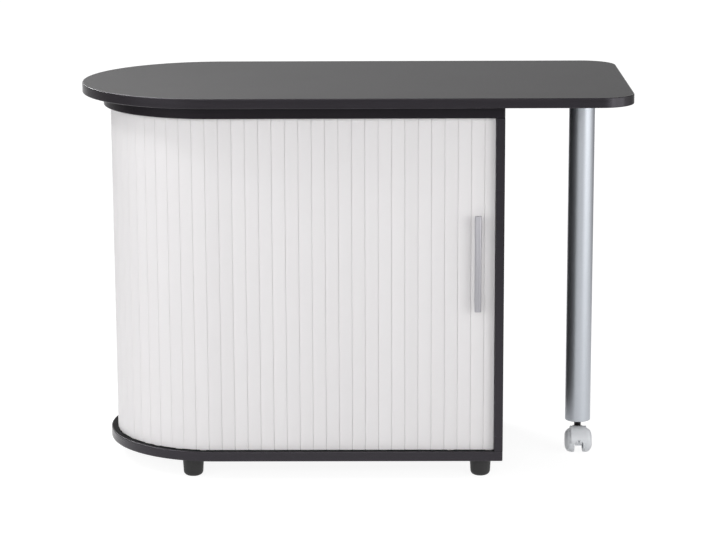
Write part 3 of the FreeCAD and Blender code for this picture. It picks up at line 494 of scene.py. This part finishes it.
# %% [markdown]
# The tambour is a curtain of upright slats. Each slat hooks over the next: a thin lip
# of its face covers a tongue on its neighbour, so the curtain bends and no light comes
# through, and from outside only a hair-line joint shows. One slat's outline is drawn
# across its width and depth, with a face that swells by a few tenths of a millimetre
# and rounded lips, and is carried up the height of the cabinet.

# %% Slat outline
SLAT_PITCH = 25 * MM
SLAT_DEEP = 6 * MM
SEEN_GAP = 0.3 * MM  # between two faces, as wide as the joints look
SWELL = 0.15 * MM
SWELL_ROUND = 250 * MM  # smooths the swell where its chords meet
LIP = 1.4 * MM
REBATE = 6 * MM
TONGUE = (3.0 * MM, 4.0 * MM)  # in from the face, where it starts and ends
TONGUE_REACH = 1.95 * MM
EDGE = 0.8 * MM
FINE = 0.2 * MM


def slat_outline(width, starts_plain=False, ends_plain=False):
    """Closed outline of a slat across its width and in from its face.

    The face swells as a parabola, SWELL * (1 - t * t) outwards at a share t of half the
    width. At the start a rebate leaves a lip, and at the end a tongue reaches behind the lip
    of the next slat, unless that end is plain.
    """
    half = width / 2 - SEEN_GAP / 2
    reach = width / 2 + TONGUE_REACH
    t = np.array([-1, -0.5, 0, 0.5, 1])
    face = np.stack([half * t, -SWELL * (1 - t ** 2)], -1).tolist()
    face_round = [EDGE, SWELL_ROUND, SWELL_ROUND, SWELL_ROUND, EDGE]
    tongue = [(half, TONGUE[0]), (reach, TONGUE[0]), (reach, TONGUE[1]), (half, TONGUE[1])]
    rebate = [(REBATE - half, SLAT_DEEP), (REBATE - half, LIP), (-half, LIP)]
    end = [] if ends_plain else tongue
    start = [(-half, SLAT_DEEP)] if starts_plain else rebate
    corners = face + end + [(half, SLAT_DEEP)] + start
    radii = face_round + [FINE] * (len(corners) - len(face))
    return rounded(corners, radii)


print("points in a slat's outline", len(slat_outline(SLAT_PITCH)))

# %% [markdown]
# The curtain runs along the front and then round the pivot of the desktop. A distance
# along the run, counted from where the bend starts, gives a point of the outer face:
# straight along the front while it is negative, and on the circle after that. The
# first strip, beside the side board, is narrower.

# %% Run of the tambour
pivot = np.array(next(j for j in frame["joints"] if j["name"] == "desktop_swivel")["pos_m"])
front_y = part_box("tambour_pair_01")[0].y
FACE_R = pivot[1] - front_y
LEAD_WIDTH = 20.5 * MM
SIDE_PLAY = 0.5 * MM
run_start = -(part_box("side_panel")[0].x - pivot[0]) + SIDE_PLAY
SLATS = 48


def run_point(s):
    """Points of the outer face at distances s along the run, one row each.

    A negative s lies straight to the right of the pivot; a positive one has gone round the
    pivot by the angle s / FACE_R.
    """
    bend = np.maximum(s, 0) / FACE_R
    x = pivot[0] - np.minimum(s, 0) - FACE_R * np.sin(bend)
    y = pivot[1] - FACE_R * np.cos(bend)
    return np.stack([x, y], -1)


edges = run_start + np.concatenate([[0], LEAD_WIDTH + SLAT_PITCH * np.arange(SLATS)])
chord = np.diff(run_point(edges), axis=0)
widths = np.linalg.norm(chord, axis=1)
along = chord / widths[:, None]
inward = np.stack([along[:, 1], -along[:, 0]], -1)
middle = (run_point(edges)[:-1] + run_point(edges)[1:]) / 2
print("slats", SLATS, "run from", round(edges[0], 4), "to", round(edges[-1], 4))

# %% [markdown]
# A slat is its outline carried straight up, so it is a prism with two end caps. Slats
# that stay in the groove have a guide tongue at each end, a smaller prism. The prisms of
# slats that move together become one mesh, and every slat gets a tone from a seeded draw.

# %% One set of slats
slat_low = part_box("tambour_pair_01")[0].z
slat_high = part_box("tambour_pair_01")[1].z
guide_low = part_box("tambour_lead")[0].z
guide_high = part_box("tambour_lead")[1].z
GUIDE_HALF = 6 * MM
GUIDE = (1.5 * MM, 4.5 * MM)  # in from the face, where it starts and ends
GUIDE_ROUND = 0.4 * MM
guide_outline = rounded(rectangle(-GUIDE_HALF, GUIDE[0], GUIDE_HALF, GUIDE[1]), GUIDE_ROUND)
tones = np.random.default_rng(7).uniform(0, 1, SLATS)


def upright(outline, number, low, high):
    """Prism of an outline on a slat's own axes, from low to high.

    A point is middle + along * first value + inward * second value, at both heights.
    """
    plan = middle[number] + outline[:, :1] * along[number] + outline[:, 1:] * inward[number]
    count = len(plan)
    heights = np.repeat([low, high], count)[:, None]
    points = np.hstack([np.tile(plan, (2, 1)), heights])
    sides = grid_faces(2, count)[:, ::-1].tolist()
    bottom = list(range(count))
    top = list(range(2 * count - 1, count - 1, -1))
    return points, sides + [bottom, top]


def joined(prisms):
    """Several closed shapes as one list of points and one of faces."""
    starts = np.cumsum([0] + [len(points) for points, _ in prisms])
    points = np.vstack([points for points, _ in prisms])
    faces = []
    for start, (_, own) in zip(starts, prisms):
        faces += [(start + np.array(face)).tolist() for face in own]
    return points, faces


def tambour_piece(node, members, guided):
    """One piece of neighbouring slats, with a tone for each slat."""
    prisms = []
    shades = []
    for number in members:
        outline = slat_outline(widths[number], number == 0, number == SLATS - 1)
        prisms.append(upright(outline, number, slat_low, slat_high))
        if number in guided:
            prisms.append(upright(guide_outline, number, guide_low, slat_low))
            prisms.append(upright(guide_outline, number, slat_high, guide_high))
        shades += [tones[number]] * (sum(len(points) for points, _ in prisms) - len(shades))
    points, faces = joined(prisms)
    piece = make_piece(node.replace("tambour", "slats"), points, faces, node)
    shade = piece.data.attributes.new("slat_tone", "FLOAT", "POINT")
    shade.data.foreach_set("value", np.array(shades, np.float32))
    return piece


print("slats from", round(slat_low, 4), "to", round(slat_high, 4))

# %% [markdown]
# Slats that move together make one piece, as in the frame: four at the lead edge, nine
# pairs along the front, and five sets on the bend. The pairs ride on bodies of their own,
# so that each can pass from the front to the bend when the curtain opens.

# %% Tambour pieces
LEAD = 4
BEND_FIRST = 22
BEND_SETS = 5
curtain = [tambour_piece("tambour_lead", range(LEAD), (0, LEAD - 1))]
for pair, number in enumerate(range(LEAD, BEND_FIRST, 2), start=1):
    curtain.append(tambour_piece("tambour_pair_%02d" % pair, (number, number + 1), ()))
on_bend = list(range(BEND_FIRST, SLATS))
cuts = [round(k * len(on_bend) / BEND_SETS) for k in range(BEND_SETS + 1)]
for part, (low, high) in enumerate(zip(cuts, cuts[1:]), start=1):
    members = on_bend[low:high]
    curtain.append(tambour_piece("tambour_bend_%d" % part, members, members[::2]))
print("tambour pieces", len(curtain), "faces", sum(len(piece.data.polygons) for piece in curtain))

# %% [markdown]
# The handle is a bar drawn through a die: rounded edges, and down its front a fine
# groove between two flat ribs. It is sawn to length and its ends are eased. The
# outline is carried up the bar, and drawn in a little near each end for the ease.

# %% Handle bar
BAR_ROUND = 3.5 * MM
BAR_BACK_ROUND = 0.8 * MM
NOTCH_HALF = 1.0 * MM
NOTCH_DEEP = 0.6 * MM
NOTCH_ROUND = 0.3 * MM
BAR_STEPS = 9
BAR_EASE = 0.7 * MM
bar_low, bar_high = (np.array(corner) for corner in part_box("handle_bar"))


def bar_outline():
    """Closed outline of the bar in plan, with widely rounded front corners and a notch."""
    (left, front), (right, back) = bar_low[:2], bar_high[:2]
    mid = (left + right) / 2
    corners = [
        (left, front), (mid - NOTCH_HALF, front), (mid, front + NOTCH_DEEP),
        (mid + NOTCH_HALF, front), (right, front), (right, back), (left, back),
    ]
    radii = [BAR_ROUND] + [NOTCH_ROUND] * 3 + [BAR_ROUND] + [BAR_BACK_ROUND] * 2
    return rounded(corners, radii, BAR_STEPS)


def eased_bar(outline, low, high, ease, steps=6):
    """A bar with eased ends.

    Going up an end by an angle a from 0 to 90 degrees, the outline lies ease * (1 - cos a)
    above the end and is drawn in along its normals by ease * (1 - sin a).
    """
    inwards = inward_normals(outline)
    angle = np.linspace(0, math.pi / 2, steps)
    rise = ease * (1 - np.cos(angle))
    heights = np.concatenate([low + rise, high - rise[::-1]])
    shrink = ease * (1 - np.sin(angle))
    shrink = np.concatenate([shrink, shrink[::-1]])
    plan = outline[None] + shrink[:, None, None] * inwards[None]
    tall = np.broadcast_to(heights[:, None, None], plan.shape[:2] + (1,))
    points = np.concatenate([plan, tall], -1).reshape(-1, 3)
    rows, count = plan.shape[:2]
    faces = grid_faces(rows, count).tolist()
    bottom = list(range(count - 1, -1, -1))
    top = list(range((rows - 1) * count, rows * count))
    return points, faces + [bottom, top]


points, faces = eased_bar(bar_outline(), bar_low[2], bar_high[2], BAR_EASE)
pull_bar = make_piece("pull_bar", points, faces, "handle_bar")
print("handle faces", len(pull_bar.data.polygons))

# %% [markdown]
# The edge bands go all round the desktop and the two boards of the cabinet. The cutter
# that trims a glued band also rounds its two outer edges, and on the round end, seen at
# a low angle, that small round draws a bright line along the board. So each band is a
# section with well rounded outer corners, carried round the board's outline. The exact
# normals of the section are given to the mesh, to keep the flat face flat to the eye.

# %% Edge bands
BAND_THICK = 2 * MM
BAND_ROUND = 1.7 * MM
GLUE_LINE = 0.1 * MM
DESK_CORNER = 66 * MM
BOARD_CORNER = 2.5 * MM
ROUND_END = 0.01 * MM  # the two arcs of the round end stay this far from meeting
PATH_STEPS = 49
SECTION_STEPS = 7


def edge_strip(name, node, corner):
    """A band round a board with a half-round left end and two right corners of one radius.

    A point is an outline point moved in along its normal by the section's depth, at the
    section's height.
    """
    low, high = (np.array(end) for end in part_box(node))
    end_round = (high[1] - low[1]) / 2 - ROUND_END
    plan_box = rectangle(low[0], low[1], high[0], high[1])
    path = rounded(plan_box, [end_round, corner, corner, end_round], PATH_STEPS)
    sides = rectangle(0, low[2], BAND_THICK, high[2])
    section = rounded(sides, [BAND_ROUND, GLUE_LINE, GLUE_LINE, BAND_ROUND], SECTION_STEPS)
    inwards = inward_normals(path)[:, None]
    facing = -inward_normals(section)[None]
    shape = (len(path), len(section), 1)
    plan = path[:, None] + inwards * section[None, :, :1]
    points = np.concatenate([plan, np.broadcast_to(section[None, :, 1:], shape)], -1)
    upward = np.broadcast_to(facing[..., 1:], shape)
    normals = np.concatenate([inwards * facing[..., :1], upward], -1)
    faces = grid_faces(len(path), len(section), loop=True)
    strip = make_piece(name, points.reshape(-1, 3), faces.tolist(), node)
    strip.data.normals_split_custom_set_from_vertices(normals.reshape(-1, 3))
    return strip


strips = [
    edge_strip("desktop_rim", "desktop_edge_band", DESK_CORNER),
    edge_strip("cabinet_top_rim", "cabinet_top_edge_band", BOARD_CORNER),
    edge_strip("base_rim", "base_edge_band", BOARD_CORNER),
]
print("band faces", [len(strip.data.polygons) for strip in strips])

# %% [markdown]
# The studio is a white sheet on the floor and white cloth behind, darker towards the
# left of the room and beyond the lamp on the right. The camera sees plain white. Shiny
# pieces need something to mirror, so for reflections a ring of greys stands round the
# desk: one ramp, read by the compass angle of a direction, serves the world and the
# floor alike.

# %% Ring of greys
RING = [
    # share of a turn, grey
    (0.00, 0.28), (0.15, 0.50), (0.25, 0.42), (0.38, 0.90), (0.51, 0.92), (0.58, 0.22),
    (0.66, 0.26), (0.755, 0.95), (0.79, 0.90), (0.87, 0.40), (1.00, 0.28),
]


def ring_of_greys(tree, place):
    """Grey by angle round the desk.

    A share of 0 or 1 lies to the left, 0.25 in front, 0.5 to the right and 0.75 behind.
    """
    angle = add_node(tree, "ShaderNodeTexGradient", {"gradient_type": "RADIAL"}, Vector=place)
    ramp = add_node(tree, "ShaderNodeValToRGB", Fac=angle.outputs["Fac"])
    stops = ramp.color_ramp.elements
    for number, (spot, grey) in enumerate(RING):
        stop = stops[number] if number < len(stops) else stops.new(spot)
        stop.position = spot
        stop.color = (grey, grey, grey, 1.0)
    return ramp.outputs["Color"]


VALUES = {"data_type": "FLOAT"}
LARGER = {"operation": "MAXIMUM"}
print("greys in the ring", len(RING))

# %% [markdown]
# The floor is a plain white sheet. Seen by the camera or in a reflection it glows
# enough to be white, and still a share of it is an ordinary matt surface, so that the
# desk's shadow stays on it; for all other light it is a matt white floor. To the camera
# it clears to full white further out, so that no edge shows. In a reflection the sheet is
# in full light near the desk and takes the greys further out.

# %% Floor
FLOOR_HALF = 30.0
LIT_NEAR = 0.9
LIT_FAR = 2.4
GLOW = 0.90
CLEAR_NEAR = 2.0
CLEAR_FAR = 5.0
mesh = bpy.data.meshes.new("floor")
corners = FLOOR_HALF * np.array([(-1, -1, 0), (1, -1, 0), (1, 1, 0), (-1, 1, 0)])
mesh.from_pydata(corners.tolist(), [], [(0, 1, 2, 3)])
floor = bpy.data.objects.new("floor", mesh)
bpy.context.scene.collection.objects.link(floor)
material, tree = new_finish("white floor sheet")
ray = add_node(tree, "ShaderNodeLightPath").outputs
place = add_node(tree, "ShaderNodeTexCoord").outputs["Object"]
away = add_node(tree, "ShaderNodeVectorMath", {"operation": "LENGTH"}, _0=place).outputs["Value"]
far = add_node(tree, "ShaderNodeMapRange", Value=away, From_Min=LIT_NEAR, From_Max=LIT_FAR)
grey = add_node(
    tree, "ShaderNodeMix", VALUES,
    _0=far.outputs[0], _2=1.0, _3=ring_of_greys(tree, place),
)
mirrored = add_node(
    tree, "ShaderNodeMath", {"operation": "MULTIPLY"}, _0=grey.outputs[0], _1=GLOW,
)
clear = add_node(
    tree, "ShaderNodeMapRange", Value=away,
    From_Min=CLEAR_NEAR, From_Max=CLEAR_FAR, To_Min=GLOW, To_Max=1.0,
)
glow = add_node(
    tree, "ShaderNodeMix", VALUES,
    _0=ray["Is Glossy Ray"], _2=clear.outputs[0], _3=mirrored.outputs[0],
)
seen = add_node(tree, "ShaderNodeMath", LARGER, _0=ray["Is Camera Ray"], _1=ray["Is Glossy Ray"])
matt = add_node(tree, "ShaderNodeBsdfDiffuse", Color=linear("#dcdcdc"))
shade = add_node(tree, "ShaderNodeBsdfDiffuse", Color=linear("#8c8c8c"))
light = add_node(
    tree, "ShaderNodeEmission", Color=linear("#ffffff"), Strength=glow.outputs[0],
)
white = add_node(tree, "ShaderNodeAddShader", _0=shade.outputs[0], _1=light.outputs[0])
shader = add_node(
    tree, "ShaderNodeMixShader",
    _0=seen.outputs[0], _1=matt.outputs[0], _2=white.outputs[0],
)
close_finish(tree, shader)
mesh.materials.append(material)
print("floor", 2 * FLOOR_HALF, "m wide")

# %% [markdown]
# Round the floor stands the world: plain white to the camera, the ring of greys to shiny
# surfaces, and for all other light a pale room that fills the shadows.

# %% World
ROOM = 0.24
world = bpy.data.worlds.new("white studio")
bpy.context.scene.world = world
world.use_nodes = True
tree = world.node_tree
tree.nodes.clear()
ray = add_node(tree, "ShaderNodeLightPath").outputs
way = add_node(tree, "ShaderNodeTexCoord").outputs["Generated"]
plain = add_node(
    tree, "ShaderNodeMath", LARGER, _0=ray["Is Camera Ray"], _1=ray["Is Transmission Ray"],
)
tone = add_node(tree, "ShaderNodeMix", VALUES, _0=plain.outputs[0], _2=ROOM, _3=1.0)
mirrored = add_node(
    tree, "ShaderNodeMix", VALUES,
    _0=ray["Is Glossy Ray"], _2=tone.outputs[0], _3=ring_of_greys(tree, way),
)
shader = add_node(
    tree, "ShaderNodeBackground", Color=linear("#ffffff"), Strength=mirrored.outputs[0],
)
add_node(tree, "ShaderNodeOutputWorld", Surface=shader.outputs[0])
print("room light", ROOM)

# %% [markdown]
# Light: large soft boxes at the front and both sides give the soft shade of a studio. A
# small one high on the left draws the slanted shadow of the desktop on the slats, one on
# the right makes the bright band on the leg, and one at the back lights the desktop.
# Last, a narrow strip at the back left is seen by shiny surfaces only: it is rolled to
# follow the rim of the round end, and draws a thin light line along it.

# %% Soft boxes
def soft_box(name, spot, target, width, height, power, roll=0.0):
    """A rectangular area lamp at a spot that faces a target, rolled by some degrees."""
    lamp = bpy.data.lights.new(name, "AREA")
    lamp.shape = "RECTANGLE"
    lamp.size = width
    lamp.size_y = height
    lamp.energy = power
    made = bpy.data.objects.new(name, lamp)
    bpy.context.scene.collection.objects.link(made)
    towards = Vector(target) - Vector(spot)
    facing = towards.to_track_quat("-Z", "Y").to_matrix().to_4x4()
    rolled = Matrix.Rotation(math.radians(roll), 4, "Z")
    made.matrix_world = Matrix.Translation(spot) @ facing @ rolled
    return made


# points that the lamps face
DESK = (0.0, 0.0, 0.4)
ROUND_TOP = (-0.3, -0.1, 0.6)
LEG = (0.44, 0.0, 0.5)
RIM = (-0.5, -0.1, 0.74)
BOXES = {
    # name: spot, target, width and height in metres, power in watts
    "front soft box": ((-0.6, -5.0, 2.1), DESK, 2.2, 2.0, 58),
    "front left soft box": ((-3.5, -3.1, 1.5), DESK, 4.0, 2.0, 59),
    "left soft box": ((-3.4, -0.6, 2.0), DESK, 2.0, 2.0, 16),
    "high left soft box": ((-2.3, -1.05, 3.2), ROUND_TOP, 0.7, 0.7, 27),
    "front right soft box": ((3.0, -3.6, 1.3), DESK, 1.6, 2.0, 37),
    "right soft box": ((2.25, -1.15, 0.72), LEG, 1.8, 1.2, 11),
    "back soft box": ((-1.2, 1.7, 3.0), DESK, 1.4, 1.2, 42),
}
for name, (spot, target, width, height, power) in BOXES.items():
    soft_box(name, spot, target, width, height, power)
rim_strip = soft_box("back left strip", (-2.1, 1.35, 2.35), RIM, 2.8, 0.2, 40, roll=42)
rim_strip.visible_diffuse = False
print("lamps", len(BOXES) + 1)

# %% [markdown]
# The camera looks from the front, a little above the desktop, with a long lens. Its
# place comes from fitting the desk's known corners to the picture.

# %% Camera
IMAGE_WIDE = 716
FOCAL_PIXELS = 2573.1
SENSOR = 36.0
CAMERA_AT = (0.0458, -4.9497, 1.4528)
HEADING = 0.448
LOOKS_DOWN = 12.386
ROLL = -0.227
camera = bpy.data.objects.new("camera", bpy.data.cameras.new("camera"))
bpy.context.scene.collection.objects.link(camera)
camera.data.sensor_width = SENSOR
camera.data.lens = FOCAL_PIXELS * SENSOR / IMAGE_WIDE
spot = Matrix.Translation(CAMERA_AT)
heading = Matrix.Rotation(math.radians(HEADING), 4, "Z")
pitch = Matrix.Rotation(math.radians(90 - LOOKS_DOWN), 4, "X")
roll = Matrix.Rotation(math.radians(ROLL), 4, "Z")
camera.matrix_world = spot @ heading @ pitch @ roll
bpy.context.scene.camera = camera
bpy.context.scene.view_settings.view_transform = "Standard"
print("lens", round(camera.data.lens, 1), "mm")
